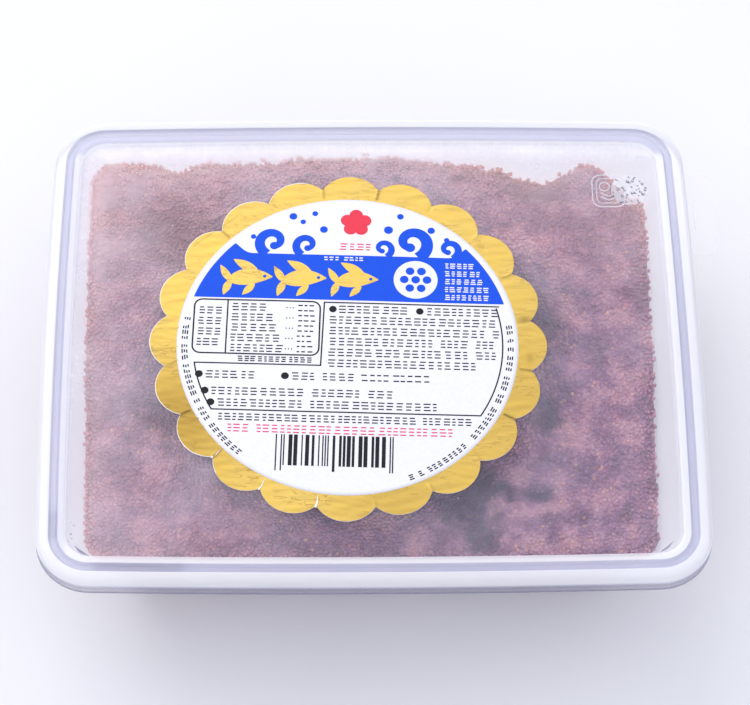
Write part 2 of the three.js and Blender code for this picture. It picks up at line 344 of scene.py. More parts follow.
lidPlastic = clearPolypropylene()
grooveFloor = pack["height"] - lid["grooveDepth"]
lidOutside = [
    (lid["panelInset"] + 2, panelTop), (lid["panelInset"], panelTop, 0.4),
    (lid["ridgeInner"], pack["height"], 0.4), (lid["grooveInner"], pack["height"], 0.3),
    (lid["grooveInner"] - lid["grooveSlope"], grooveFloor, 0.2),
    (lid["grooveOuter"] + lid["grooveSlope"], grooveFloor, 0.2),
    (lid["grooveOuter"], pack["height"], 0.3), (lid["lean"], pack["height"], lid["shoulder"]),
    *[(lid["lean"] * rise / lid["skirt"], skirtBottom + rise) for rise in (2.7, 2.5, 0.5, 0.4)],
    (0, skirtBottom),
]
lidInside = offsetProfile(lidOutside, lid["wall"])
lidInside[-1] = (lidInside[-1][0], skirtBottom, 0)
underPath = roundedProfile(lidInside)
lidProfile = np.concatenate([underPath, roundedProfile(lidOutside)[::-1]])
lidRings = packRings(lidProfile, lid["cornerSteps"], lid["sideSteps"])
shrink = np.linspace(0, 1, lid["panelRings"] + 2)[1:-1]
lidRings = np.concatenate([shrunk(lidRings[0], shrink), lidRings, shrunk(lidRings[-1], shrink[::-1])])
lidPoints, lidFaces = closedRings(lidRings)
lidPoints[:, 2] += panelWarp(lidPoints[:, 0], lidPoints[:, 1])
insets = np.pad(lidProfile[:, 0], lid["panelRings"], constant_values=99)
heights = np.pad(lidProfile[:, 1], lid["panelRings"])
inGroove = smoothStep((insets - 3.0) / 0.5) * smoothStep((6.0 - insets) / 0.5)
onRim = smoothStep((7.8 - insets) / 0.6)
onSkirt = smoothStep((pack["height"] - 1.9 - heights) / 0.9) * (insets < 2)
onBend = np.exp(-((heights - skirtBottom - 2.6) / 0.15) ** 2) * (insets < 2)
onFoot = smoothStep((skirtBottom + 0.48 - heights) / 0.1) * (insets < 2)
outside = np.arange(len(insets)) >= lid["panelRings"] + len(underPath)   # the under side stays clear
lidMilk = outside * (lid["milkRim"] * onRim + lid["milkSkirt"] * onSkirt + lid["milkBend"] * onBend
                     + lid["milkFoot"] * onFoot)
# Painted shade: the groove is tinted lilac, and the skirt with its bend and foot grey mauve, where shade
# shows through the clear plastic
lidTint = np.maximum(0.5 * onRim + 0.47 * onSkirt + 0.1 * onFoot + 0.1 * onBend, 0.8 * inGroove)


def litPanelStrip(x, y):
    # Painted light: whiter strips along the far and left edges, where the panel bends up to its
    # ridge over the walls that light comes through
    return np.maximum(smoothStep((y - 54.6) / 2.4), 0.45 * smoothStep((-x - 74) / 1.5))


def panelFog(x, y):
    # Fog on the panel: a thin film that thickens by smooth steps to the far side and to the left,
    # with a clearer hole in it, and the whiter strips of painted light along the far and left edges
    return lid["fog"] * (lid["fogEven"] + lid["fogFar"] * smoothStep((y + 25) / 85)
                         + lid["fogLeft"] * smoothStep((-x - 5) / 60)
                         + lid["litStrip"] * litPanelStrip(x, y)
                         - lid["fogHole"] * bell(x, y, *lid["fogHolePlace"]))


lidX, lidY = lidPoints[:, 0], lidPoints[:, 1]
nearWear = smoothStep((-61 - lidY) / 0.5) * smoothStep((lidX + 69) / 2) * smoothStep((-44.5 - lidX) / 2)
leftWear = smoothStep((-74 - lidX) / 0.5) * smoothStep((lidY + 56) / 2) * smoothStep((-46 - lidY) / 2)
# grey smears in the groove where the lid is pressed on
wear = perRing(inGroove * outside, lidRings) * np.maximum(nearWear, 0.8 * leftWear)
onPanel = perRing((insets > lid["grooveInner"]).astype(float), lidRings)
lidShell = addPiece("lidShell", lidPoints, lidFaces, [lidPlastic], {
    "fog": panelFog(lidX, lidY) * perRing(outside * (1 - onRim), lidRings),
    "milk": perRing(lidMilk, lidRings) + 0.12 * wear,
    "tint": perRing(lidTint, lidRings) + 0.1 * wear + 0.3 * litPanelStrip(lidX, lidY) * onPanel})
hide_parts("lid")

# Pull tab: a rounded tongue out of the skirt's foot, its section carried along the side
tabY = lid["tabMiddle"] - lid["tabLength"] / 2 * np.cos(np.linspace(0, math.pi, lid["tabSteps"]))
tabOver = np.maximum(np.abs(tabY - lid["tabMiddle"]) - (lid["tabLength"] / 2 - lid["tabCorner"]), 0)
tabFall = lid["tabCorner"] - np.sqrt(np.maximum(lid["tabCorner"] ** 2 - tabOver ** 2, 0))
tabOuter = halfWidth + lid["tabReach"] - tabFall
tabInner = (halfWidth - lid["wall"] / 2) * bowShares(0, tabY)[0]
section = np.array([[0, 0], [0.5, 0], [0.96, 0], [1, 0.15], [1, 0.85], [0.96, 1], [0.5, 1], [0, 1]])
tabX = tabInner[:, None] + (tabOuter - tabInner)[:, None] * section[:, 0]
tabZ = skirtBottom + lid["tabThickness"] * section[:, 1]
tabPoints, tabFaces = closedRings(stacked(tabX, tabY[:, None], tabZ))
ribSteps = np.linspace(-1, 1, 15)
ribHalf = lid["ribWidth"] / 2 * np.sqrt(np.maximum(1 - ribSteps ** 8, 0.02))[:, None]
ribTurn = np.linspace(0, math.pi, 7)
ribX = halfWidth + lid["ribOffset"] - ribHalf * np.cos(ribTurn)
ribY = (lid["tabMiddle"] + ribSteps * lid["ribLength"] / 2)[:, None]
ribZ = (skirtBottom + lid["tabThickness"] - 0.1
        + (lid["ribHeight"] + 0.1) * np.sin(ribTurn) * (ribHalf / lid["ribWidth"] * 2))
ribPoints, ribFaces = closedRings(stacked(ribX, ribY, ribZ))
tabAll = np.concatenate([tabPoints, ribPoints])
tabMilk = np.concatenate([np.full(len(tabPoints), 0.03), np.full(len(ribPoints), 0.2)])
addPiece("lidPullTab", tabAll, [*tabFaces, *[f + len(tabPoints) for f in ribFaces]], [lidPlastic],
         {"fog": np.zeros(len(tabAll)), "milk": tabMilk, "tint": np.full(len(tabAll), 0.5)})
print("lid made")


tub = {"wall": 0.8, "gap": 0.3, "flangeInset": 2.4, "lip": 1.5, "baseRound": 5, "foot": 8, "recess": 0.8,
       "cornerSteps": 18, "sideSteps": 28, "milk": 0.42, "flangeClearer": 0.14}
lidUnder = panelTop - lid["wall"]
underFlange = lidUnder - tub["gap"] - tub["wall"]
baseInset = pack["wallTopInset"] + underFlange * math.tan(pack["wallDraft"])


def milkyPolypropylene():
    # Milky polypropylene, injection moulded and thin: light passes through and scatters, with
    # faint flow marks and a satin skin
    add = startMaterial("milkyPolypropyleneMoulded")
    place = add("TexCoord", out="Object")
    flow = add("TexNoise", {"Vector": place, "Scale": 1 / 0.02, "Detail": 2.0})
    grain = add("TexNoise", {"Vector": place, "Scale": 1 / 0.0008, "Detail": 2.0})
    colour = add("ValToRGB", {0: flow}, stops=[(0.3, "#faf9fc"), (0.7, "#ffffff")])
    rough = add("ValToRGB", {0: grain}, stops=[(0.3, 0.26), (0.7, 0.4)])
    bump = add("Bump", {"Height": grain, "Strength": 0.1, "Distance": 0.0001})
    dense = add("Attribute", out="Fac", attribute_name="dense")
    return throughPlastic(add, colour, rough, bump, 0.5, dense)


tubOutside = [
    (baseInset + tub["foot"] + 3, tub["recess"]),
    (baseInset + tub["foot"] + tub["recess"], tub["recess"], 0.3),
    (baseInset + tub["foot"], 0, 0.3), (baseInset, 0, tub["baseRound"]),
    (pack["wallTopInset"], underFlange, 0.6), (tub["flangeInset"], underFlange, 0.3),
    (tub["flangeInset"], underFlange - tub["lip"]),
]
tubInside = offsetProfile(tubOutside, -tub["wall"])
tubProfile = np.concatenate([roundedProfile(tubOutside), roundedProfile(tubInside)[::-1]])
tubRings = packRings(tubProfile, tub["cornerSteps"], tub["sideSteps"])
tubPoints, tubFaces = closedRings(tubRings)
onFlange = smoothStep((pack["wallTopInset"] - tubProfile[:, 0]) / 0.8)   # the thin flange is clearer
tubShell = addPiece("tubShell", tubPoints, tubFaces, [milkyPolypropylene()], {
    "dense": perRing(tub["milk"] - tub["flangeClearer"] * onFlange, tubRings)})
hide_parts("tub")
print("tub made")


roe = {
    "drop": 5.4, "tilt": 0.072, "leftFall": 1.2, "rightFall": 4.2, "edgeFall": 2.2, "edgeReach": 3.5,
    "clumpCount": 110, "clumpSeed": 20, "clumpRadius": (2.5, 6), "clumpRise": (-1, 1.4),
    "grain": 0.56, "pitch": 0.98, "sink": 0.28, "rimSink": 1.5, "farFall": 3.2,
    # height, more of it by the far wall, where that starts and over how far, then the waves
    "lumps": [(0.3, 0.5, 40, 14, 16, (3.8, 9), 17), (0.16, 0.34, 46, 8, 14, (1.9, 3.6), 3)],
    "cornerSteps": 10, "sideSteps": 90, "field": (160, 132), "shift": 0.38, "eggSeed": 11,
    "spinSeed": 12, "eggSegments": 6, "eggRings": 3,
}
# Mounds and hollows: x, y, radius, rise
roeFeatures = [
    (47, 29, 5, 2), (-20, 53, 9, 1.4), (0, 56, 13, 2), (57, 53, 5, 4.5), (-66, 52, 7, 2),
    (60, -35, 9, 1.5), (-12, -50, 8, 2), (50, -10, 8, 1.5), (-50, 56, 4, -2.5), (-49, 36, 10, -3.2),
    (44, -16, 5, -3.5), (26, -35, 5, -3.5), (43, 8, 7, -3), (38, 22, 5, -2), (-52, -17, 8, -2),
    (35, -38.5, 2.6, -1.8), (39.5, -39, 2.6, -1.8), (43.5, -38.5, 2.6, -1.6), (21, -42, 5, -3),
    (26.5, -50, 4.5, -3), (42, 54, 9, -3), (69, 54, 6, -6), (46, 57, 8, -3),
]
wallGapInset = tub["wall"] + tub["gap"]


def seededShares(seed, count):
    # Small whole-number generator, the same as the solid's, so both heaps share their lumps
    full = 0xffffffff
    shares = []
    state = seed
    for _ in range(count):
        state = (state + 0x6d2b79f5) & full
        mixed = ((state ^ (state >> 15)) * (1 | state)) & full
        mixed = ((mixed + ((mixed ^ (mixed >> 7)) * (61 | mixed))) & full) ^ mixed
        shares.append(((mixed ^ (mixed >> 14)) & full) / 2 ** 32)
    return np.array(shares)


clumpDraws = seededShares(roe["clumpSeed"], roe["clumpCount"] * 4).reshape(-1, 4)
clumps = stacked((clumpDraws[:, 0] - 0.5) * pack["width"], (clumpDraws[:, 1] - 0.5) * pack["depth"],
                 np.interp(clumpDraws[:, 2], (0, 1), roe["clumpRadius"]),
                 np.interp(clumpDraws[:, 3], (0, 1), roe["clumpRise"]))


def roeHeight(x, y):
    # The fill tilts up to the far side, falls to the side walls by powers of x, drops at the
    # very edge and by the far wall, each clump adds its rise times exp(-distance² / radius²),
    # and fine waves make the small lumps
    wallInset = pack["wallTopInset"] + wallGapInset + roe["drop"] * math.tan(pack["wallDraft"])
    wallX, wallY = halfWidth - wallInset, halfDepth - wallInset
    sideways = np.abs(x / wallX)
    fall = np.where(x < 0, roe["leftFall"] * sideways ** 2, roe["rightFall"] * sideways ** 1.5)
    wallGap = np.maximum(np.minimum(wallX - np.abs(x), wallY - np.abs(y)), 0)
    z = (pack["height"] - roe["drop"] + roe["tilt"] * y - fall
         - roe["edgeFall"] * np.exp(-wallGap / roe["edgeReach"]))
    z = z - roe["farFall"] * smoothStep((y - 36) / 22)
    for height, farMore, start, reach, count, length, seed in roe["lumps"]:
        z = z + (height + farMore * smoothStep((y - start) / reach)) * waves(x, y, count, length, seed)
    for lumpX, lumpY, radius, rise in [*roeFeatures, *clumps]:
        z = z + rise * bell(x, y, lumpX, lumpY, radius)
    return np.minimum(z, lidUnder - tub["gap"])


def roeHollow(x, y):
    # How far the heap lies below its smooth fill, from -1 on a mound to 1 in a hollow
    depth = np.zeros_like(x)
    for lumpX, lumpY, radius, rise in [*roeFeatures, *clumps]:
        depth = depth - rise * bell(x, y, lumpX, lumpY, 1.15 * radius)
    return np.clip(depth / 3, -1, 1)


def innerInset(z):
    # How far in the tub's inner face stands at height z, with the small gap before it
    return (pack["wallTopInset"] + (underFlange - z) * math.tan(pack["wallDraft"])
            + wallGapInset / math.cos(pack["wallDraft"]))


def wallDistance(x, y, z):
    # Signed distance inward from the tub's inner face at height z, as for a rounded rectangle
    inset = innerInset(z)
    radius = pack["wallCorner"] + pack["cornerGrowth"] * (inset - pack["wallTopInset"])
    shareX, shareY = bowShares(x, y)
    overX = np.abs(x / shareX) - (halfWidth - inset - radius)
    overY = np.abs(y / shareY) - (halfDepth - inset - radius)
    beyond = np.hypot(np.maximum(overX, 0), np.maximum(overY, 0))
    return radius - beyond - np.minimum(np.maximum(overX, overY), 0)


def roeFlesh(name, wet):
    # Flying-fish eggs in soy seasoning: mauve and red-brown beads with a wet skin. Each egg has
    # its own share of dye, the top of which is painted amber as painted glints. The hollows are
    # painted dark with a bluish cast as painted shade, and eggs by the far and left walls are painted
    # paler as painted light. Real eggs are under a millimetre wide; they are drawn at 1.1 mm so that they
    # show.
    add = startMaterial(name)
    place = add("TexCoord", out="Object")
    mottle = add("TexNoise", {"Vector": place, "Scale": 1 / 0.007, "Detail": 3.0})
    hollowShade, pale = [add("Attribute", out="Fac", attribute_name=key) for key in ("hollowShade", "pale")]
    inputs = {"Roughness": 0.18, "IOR": 1.38, "Subsurface Weight": 0.35,
              "Subsurface Radius": (1.2, 0.45, 0.3), "Subsurface Scale": 0.0012}
    if wet:
        dyeAndGlint = add("Attribute", out="Fac", attribute_name="dyeAndGlint")
    else:
        egg = add("TexVoronoi", {"Vector": place, "Scale": 1 / 0.0011}, "Color")
        dyeAndGlint = add("SeparateColor", {"Color": egg})
        inputs["Normal"] = add("Bump", {"Height": egg.node.outputs["Distance"], "Strength": 0.9,
                                        "Distance": 0.0006}, invert=True)
    # painted glints: the last two stops turn a few eggs orange and amber; the rest is the eggs' own dye
    colour = add("ValToRGB", {0: dyeAndGlint}, stops=[(0.0, "#885c7a"), (0.5, "#9c6e8e"), (0.94, "#ac8498"),
                                              (0.988, "#cc9080"), (1.0, "#ecb888")])
    patch = add("ValToRGB", {0: mottle}, stops=[(0.36, "#544668"), (0.5, "#997090"), (0.64, "#d4a2ae")])
    # painted shade in the hollows, painted light on the pale eggs
    for share, over in ((0.5, patch), (hollowShade, "#25264a"), (pale, "#f4b8a8")):
        colour = add("MixRGB", {0: share, 1: colour, 2: over})
    skin = add("BsdfPrincipled", {"Base Color": colour, **inputs})
    return add("OutputMaterial", {"Surface": skin})


def roeValues(points, dyeAndGlint):
    # Hollow shade, pale and dye shares of each point: the hollows get painted shade. Eggs by the far
    # and left walls are paler, because light comes to them through the plastic.
    x, y, z = points.T
    uneven = 0.3 * waves(x, y, 18, (4, 16), 23) + 0.22 * waves(x, y, 18, (2.5, 6), 24)
    # painted shade: the deeper the hollow, the darker and bluer
    hollowShade = smoothStep((roeHollow(x, y) + uneven - 0.04) / 0.95) * 0.72
    side = 0.7 * smoothStep((y - 20) / 35) + 0.35 * smoothStep((-x - 40) / 30) + 0.1
    pale = side * np.exp(-np.maximum(wallDistance(x, y, z), 0) / 4.5)
    # painted light: the whole heap is paler towards the far side and the left, where the lamp stands
    pale = pale + 0.2 * smoothStep((y + 10) / 60) + 0.14 * smoothStep(-x / 60)
    return {"hollowShade": hollowShade, "pale": np.clip(pale, 0, 1), "dyeAndGlint": dyeAndGlint}


# Core under the eggs: the tub's hollow from its floor up, then the heap's face from rim to middle
steps = (roe["cornerSteps"], roe["sideSteps"])
hollowProfile = offsetProfile([*tubOutside[:4], tubOutside[4][:2]], -wallGapInset)
lowRings = packRings(roundedProfile(hollowProfile)[:-1], *steps)
coreFloor = shrunk(lowRings[0], np.linspace(0, 1, 5)[1:-1])
wallLow, wallHigh = 20.0, 36.0
wallRings = [packRings([(innerInset(z), z)], *steps)[0] for z in (wallLow, wallHigh)]
rimZ = np.full(len(wallRings[0]), 30.0)
for _ in range(4):   # the heap's edge meets the leaning wall where both agree on the height
    lean = ((rimZ - wallLow) / (wallHigh - wallLow))[:, None]
    rimRing = wallRings[0] * (1 - lean) + wallRings[1] * lean
    rimZ = roeHeight(rimRing[:, 0], rimRing[:, 1]) - roe["sink"] - roe["rimSink"]
rimRing[:, 2] = rimZ
sideShare = np.linspace(0, 1, 10)[1:-1, None, None]
coreSideRings = lowRings[-1] * (1 - sideShare) + rimRing * sideShare
coreTop = shrunk(rimRing, np.concatenate([1 - 0.004 * np.arange(0, 6), np.linspace(0.97, 0.02, 110)]))
coreTop[..., 2] = roeHeight(coreTop[..., 0], coreTop[..., 1]) - roe["sink"]
rimNear = np.exp(-np.maximum(wallDistance(*np.moveaxis(coreTop, -1, 0)), 0) / 0.8)
coreTop[..., 2] -= roe["rimSink"] * rimNear   # the eggs stand over the core's edge
coreTop[0, :, 2] = rimZ
corePoints, coreFaces = closedRings(np.concatenate([coreFloor, lowRings, coreSideRings, coreTop]))
roeCore = addPiece("roeCore", corePoints, coreFaces, [roeFlesh("fishRoePacked", False)],
                   roeValues(corePoints, np.full(len(corePoints), 0.4)), sharp=None)
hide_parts("roe")
print("roe core made")


def eggShape(segments, rings):
    # A unit sphere of few faces: rings of points between two poles
    polar = np.linspace(0, math.pi, rings + 1)[1:-1, None]
    turn = np.linspace(0, 2 * math.pi, segments, endpoint=False)
    return closedRings(stacked(np.sin(polar) * np.cos(turn), np.sin(polar) * np.sin(turn), -np.cos(polar)))


def scatterEggs():
    # Hexagonal grid over the heap, each egg moved at random by a share of the pitch, sized and
    # sunk at random, and dropped where it would stand in the wall
    draw = np.random.default_rng(roe["eggSeed"])
    pitch, shift, rowStep = roe["pitch"], roe["shift"], 0.866
    width, depth = roe["field"]
    column, row = np.meshgrid(np.arange(int(width / pitch)), np.arange(int(depth / (pitch * rowStep))))
    x = (column + 0.5 * (row % 2)) * pitch - width / 2 + draw.uniform(-shift, shift, row.shape) * pitch
    y = row * pitch * rowStep - depth / 2 + draw.uniform(-shift, shift, row.shape) * pitch
    size = roe["grain"] * draw.uniform(0.82, 1.14, row.shape)
    z = roeHeight(x, y) - size * draw.uniform(0.4, 0.8, row.shape)
    nearWall = np.exp(-np.maximum(wallDistance(x, y, z), 0) / 1.8)   # loose eggs stick out there
    z = np.minimum(z + draw.uniform(-0.3, 1.0, x.shape) * nearWall, lidUnder - tub["gap"] - size)
    keep = wallDistance(x, y, z) > size * 0.9
    return stacked(x, y, z)[keep], size[keep], draw.uniform(0, 1, keep.sum())


eggPlaces, eggSize, eggDyeAndGlint = scatterEggs()
eggPoints, eggFaces = eggShape(roe["eggSegments"], roe["eggRings"])
eggSpin = np.random.default_rng(roe["spinSeed"]).uniform(0, 2 * math.pi, len(eggSize))
eggMaterial = roeFlesh("fishRoeLoose", True)
thirds = np.quantile(eggPlaces[:, 0], (1 / 3, 2 / 3))
for index, name in enumerate(("roeEggsLeft", "roeEggsMiddle", "roeEggsRight")):
    pick = np.searchsorted(thirds, eggPlaces[:, 0]) == index
    cos, sin = np.cos(eggSpin[pick])[:, None], np.sin(eggSpin[pick])[:, None]
    x, y, z = eggPoints.T
    turned = stacked(x * cos - y * sin, x * sin + y * cos, z)
    points = turned * eggSize[pick][:, None, None] + eggPlaces[pick][:, None]
    shift = (np.arange(pick.sum()) * len(eggPoints))[:, None, None]
    faces = [(f[None] + shift).reshape(-1, f.shape[1]) for f in eggFaces]
    values = roeValues(eggPlaces[pick], eggDyeAndGlint[pick])
    addPiece(name, points.reshape(-1, 3), faces, [eggMaterial],
             {key: np.repeat(value, len(eggPoints)) for key, value in values.items()}, sharp=None)
print("roe eggs made:", len(eggSize))


seal = {
    "radius": 50, "valley": 46.4, "scallops": 20, "turn": math.radians(16.8), "middle": (-6, -0.4),
    "thickness": 0.2, "lift": 0.05, "flat": 42, "crinkle": 0.05, "crease": 0.16, "perScallop": 60,
    "creaseSeed": 41, "foldShadeSeed": 43, "litEdgeTurn": math.radians(165),
    # painted shade where the foil crumples on the petals: x, y, length, width, strength
    "crumpleShades": [(38.6, 6.4, 1.6, 0.9, 0.45), (39.5, -5.0, 0.9, 1.6, 0.3), (-30, -36.2, 1.2, 0.8, 0.3)],
    # painted dark reflection: petals that curl down to the near left and the right are painted
    # darker, as they would mirror the dim room: share, direction, narrowness
    "darkReflectionEven": 0.05, "darkReflectionSides": [(0.75, 207, 14), (0.3, 340, 5), (0.35, 283, 16)],
}
sealTopZ = panelTop + seal["lift"] + seal["thickness"]
petalHalf = math.pi / seal["scallops"]


def sealTop(x, y):
    # Height of the seal's face: the lid's warp, a slow wave, and long sideways crinkles that the
    # printed disc has few of and the foil petals have in full
    radius = np.hypot(x - seal["middle"][0], y - seal["middle"][1])
    slow = 0.05 * waves(x, y, 5, (14, 30), 31)
    fine = waves(x, y, 12, (1.6, 4.5), 32, lean=math.pi / 2, spread=0.45)
    share = 0.1 + 0.9 * smoothStep((radius - 42.2) / 1.2)
    return sealTopZ + panelWarp(x, y) + slow + seal["crinkle"] * fine * share


def petalTurn(angle):
    # The angle from the middle of its own petal
    return (angle - seal["turn"] + petalHalf) % (2 * petalHalf) - petalHalf


def scallopRadius(angle):
    # Each scallop is a circle's arc: middle cos a + root of (arc² - middle² sin² a)
    chord = seal["valley"] * math.sin(petalHalf)
    rise = seal["radius"] - seal["valley"] * math.cos(petalHalf)
    arc = (chord ** 2 + rise ** 2) / (2 * rise)
    middle = seal["radius"] - arc
    local = petalTurn(angle)
    return middle * np.cos(local) + np.sqrt(arc ** 2 - middle ** 2 * np.sin(local) ** 2)


def goldFoilPaper():
    # Gold-lacquered aluminium foil on paper, crinkled by handling: satin gold with fine sharp
    # wrinkles in patches, duller where it was rubbed. Painted shade darkens the wrinkles, the folds
    # and the crumples, and a painted dark reflection darkens the petals that curl down
    add = startMaterial("goldFoilPaperCrinkled")
    place = add("TexCoord", out="Object")
    stretched = add("Mapping", {"Vector": place, "Rotation": (0, 0, 0.12),
                                "Scale": (1 / 0.005, 1 / 0.0011, 1 / 0.005)})
    wrinkle = add("TexNoise", {"Vector": stretched, "Scale": 1.0, "Detail": 2.0, "Distortion": 0.6})
    rub = add("TexNoise", {"Vector": place, "Scale": 1 / 0.008, "Detail": 3.0})
    foldShade, darkReflection = [add("Attribute", out="Fac", attribute_name=key) for key in ("foldShade", "darkReflection")]
    # painted shade: the wrinkle lines are darkened in colour as well as bumped
    line = add("ValToRGB", {0: wrinkle}, stops=[(0.53, 0.0), (0.555, 1.0), (0.575, 0.0)])
    patch = add("ValToRGB", {0: rub}, stops=[(0.46, 0.0), (0.6, 1.0)])
    lines = add("Math", {0: line, 1: patch}, operation="MULTIPLY")
    colour = add("ValToRGB", {0: rub}, stops=[(0.3, "#c8a850"), (0.7, "#ceb162")])
    # painted shade along the wrinkle lines and folds, and a painted dark reflection on petals that curl
    # down
    for share, over in ((lines, "#b48a3c"), (darkReflection, "#92742f"), (foldShade, "#5c4a20")):
        colour = add("MixRGB", {0: share, 1: colour, 2: over})
    rough = add("ValToRGB", {0: rub}, stops=[(0.3, 0.4), (0.7, 0.52)])
    bump = add("Bump", {"Height": lines, "Strength": 0.5, "Distance": 0.0001}, invert=True)
    skin = add("BsdfPrincipled", {"Base Color": colour, "Metallic": 0.75, "Roughness": rough,
                                  "Normal": bump})
    return add("OutputMaterial", {"Surface": skin})


def whitePaper(name, code, rough):
    # Coated label paper: smooth white with a faint fibre mottle, matt at its cut edge
    add = startMaterial(name)
    fibre = add("TexNoise", {"Vector": add("TexCoord", out="Object"), "Scale": 1 / 0.0009, "Detail": 3.0})
    shade = add("MixRGB", {0: fibre, 1: code, 2: "#dcdce4"})
    bump = add("Bump", {"Height": fibre, "Strength": 0.08, "Distance": 0.00005})
    skin = add("BsdfPrincipled", {"Base Color": shade, "Roughness": rough, "Normal": bump})
    return add("OutputMaterial", {"Surface": skin})


foil = goldFoilPaper()
cutEdge = whitePaper("labelPaperCutEdge", "#f4efe4", 0.7)
angleCount = seal["scallops"] * seal["perScallop"]
sealAngles = seal["turn"] + np.arange(angleCount) * 2 * math.pi / angleCount
shares = np.append(np.linspace(0, 0.98, 29)[1:], 1)[:, None]   # the last step is the narrow cut edge
radii = np.concatenate([np.tile(np.linspace(2, seal["flat"], 16)[:, None], angleCount),
                        seal["flat"] + (scallopRadius(sealAngles) - seal["flat"]) * shares])
sealX = seal["middle"][0] + radii * np.cos(sealAngles)
sealY = seal["middle"][1] + radii * np.sin(sealAngles)
valleyGap = (petalHalf - np.abs(petalTurn(sealAngles))) * radii   # distance along the arc
valleyIndex = np.floor((sealAngles - seal["turn"]) / (2 * petalHalf) + 0.0001).astype(int)
valleyIndex %= seal["scallops"]
creaseDraw = np.random.default_rng(seal["creaseSeed"]).uniform(-0.6, 1.0, seal["scallops"])
creaseLine = np.exp(-(valleyGap / 0.35) ** 2) * smoothStep((radii - 43.5) / 2.5)
topZ = sealTop(sealX, sealY) + seal["crease"] * creaseDraw[valleyIndex] * creaseLine
topZ -= 0.06 * (1 - smoothStep((radii - seal["flat"]) / 0.7))   # under the printed disc
under = [stacked(sealX[k], sealY[k], panelTop + seal["lift"] + panelWarp(sealX[k], sealY[k]))
         for k in (10, -1)]
sealPoints, sealFaces = closedRings(np.concatenate([under, stacked(sealX, sealY, topZ)[::-1]]))
edgeSlots = np.zeros(sum(len(f) for f in sealFaces))
edgeSlots[:2 * angleCount] = 1   # the underside is paper, and so is the cut edge on one side
# painted light: the cut edge shows white paper only on the lit left side; elsewhere it keeps the foil
edgeSlots[2 * angleCount:3 * angleCount] = np.cos(sealAngles - seal["litEdgeTurn"]) > 0.45
# Painted shade: dark along the folds at some valleys, in the crumples and along one slantwise crease
foldShadeDraw = np.random.default_rng(seal["foldShadeSeed"]).uniform(0, 1, seal["scallops"])
foldShadeStrength = np.interp(foldShadeDraw, (0, 0.45, 1), (0, 0.1, 0.9))[valleyIndex]
foldShades = np.exp(-(valleyGap / 0.3) ** 2) * smoothStep((radii - 43.2) / 0.6) * foldShadeStrength
for crumpleX, crumpleY, long, wide, strength in seal["crumpleShades"]:
    foldShades += strength * np.exp(-((sealX - crumpleX) / long) ** 2 - ((sealY - crumpleY) / wide) ** 2)
# painted shade only: a dark line where a crease runs slantwise over one petal
acrossCrease = (sealX + 39.5) * 0.62 - (sealY - 33.5) * 0.78   # a crease runs slantwise over one petal
foldShades += 0.35 * np.exp(-(acrossCrease / 0.16) ** 2) * (np.abs(sealAngles - math.radians(135)) < 0.15)
# painted dark reflection, strongest on the petals that face each listed direction
petalDarkReflection = seal["darkReflectionEven"] + sum(
    share * np.maximum(np.cos(sealAngles - math.radians(side)), 0) ** narrow
    for share, side, narrow in seal["darkReflectionSides"])
foldShadeRings = np.concatenate([np.zeros((2, angleCount)), foldShades[::-1]])
sealFoil = addPiece("sealFoil", sealPoints, sealFaces, [foil, cutEdge], {
    "darkReflection": np.append(np.tile(petalDarkReflection, len(foldShadeRings)), [0, 0]),
    "foldShade": np.append(np.clip(foldShadeRings, 0, 1), [0, 0])}, edgeSlots, 50)
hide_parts("label")
print("seal made")


ink = {
    "discMiddle": (-6.16, -0.39), "discRadius": 43, "turn": -0.035, "film": 0.02, "seed": 8,
    "black": "#16161c", "blue": "#064ad0", "red": "#d8384c", "rose": "#d03a68", "white": "#dadae2",
}
printDraw = np.random.default_rng(ink["seed"])


def slabFaces(rows, columns, count):
    # Faces of a thin slab over a grid: top, underside and four edges, repeated for each slab
    grid = np.arange(rows * columns).reshape(rows, columns)
    top = stacked(grid[:-1, :-1], grid[1:, :-1], grid[1:, 1:], grid[:-1, 1:]).reshape(-1, 4)
    below = rows * columns
    border = np.concatenate([grid[:-1, 0], grid[-1, :-1], grid[1:, -1][::-1], grid[0, 1:][::-1]])
    nextBorder = np.roll(border, -1)
    side = stacked(nextBorder, border, border + below, nextBorder + below)
    faces = np.concatenate([top, top[:, ::-1] + below, side])
    return (faces[None] + (np.arange(count) * below * 2)[:, None, None]).reshape(-1, 4)


def slabs(x, y, lift):
    # x and y are count x rows x columns from the disc's middle, turned as the print is; every
    # slab follows the seal's face
    cos, sin = math.cos(ink["turn"]), math.sin(ink["turn"])
    x, y = (x * cos - y * sin + ink["discMiddle"][0], x * sin + y * cos + ink["discMiddle"][1])
    top = sealTop(x, y) + lift
    points = np.stack([stacked(x, y, top), stacked(x, y, top - ink["film"])], axis=1)
    return points.reshape(-1, 3), slabFaces(x.shape[1], x.shape[2], len(x))


def joined(parts):
    points, faces, start = [], [], 0
    for partPoints, partFaces in parts:
        points.append(partPoints)
        faces.append(partFaces + start)
        start += len(partPoints)
    return np.concatenate(points), np.concatenate(faces)


def finerPath(path, width):
    # The same line with stops at most 1.6 mm apart, so that it follows the paper's waves
    path = np.asarray(path, dtype=float)
    along = np.append(0, np.cumsum(np.linalg.norm(np.diff(path, axis=0), axis=1)))
    stops = np.union1d(along, np.arange(0, along[-1], 1.6))
    fine = stacked(np.interp(stops, along, path[:, 0]), np.interp(stops, along, path[:, 1]))
    return fine, np.interp(stops, along, np.broadcast_to(width, along.shape))


def spread(*values):
    # Numbers and lists brought to one length, each as a column of count x 1 x 1
    return [np.ravel(v)[:, None, None] for v in np.broadcast_arrays(*values)]


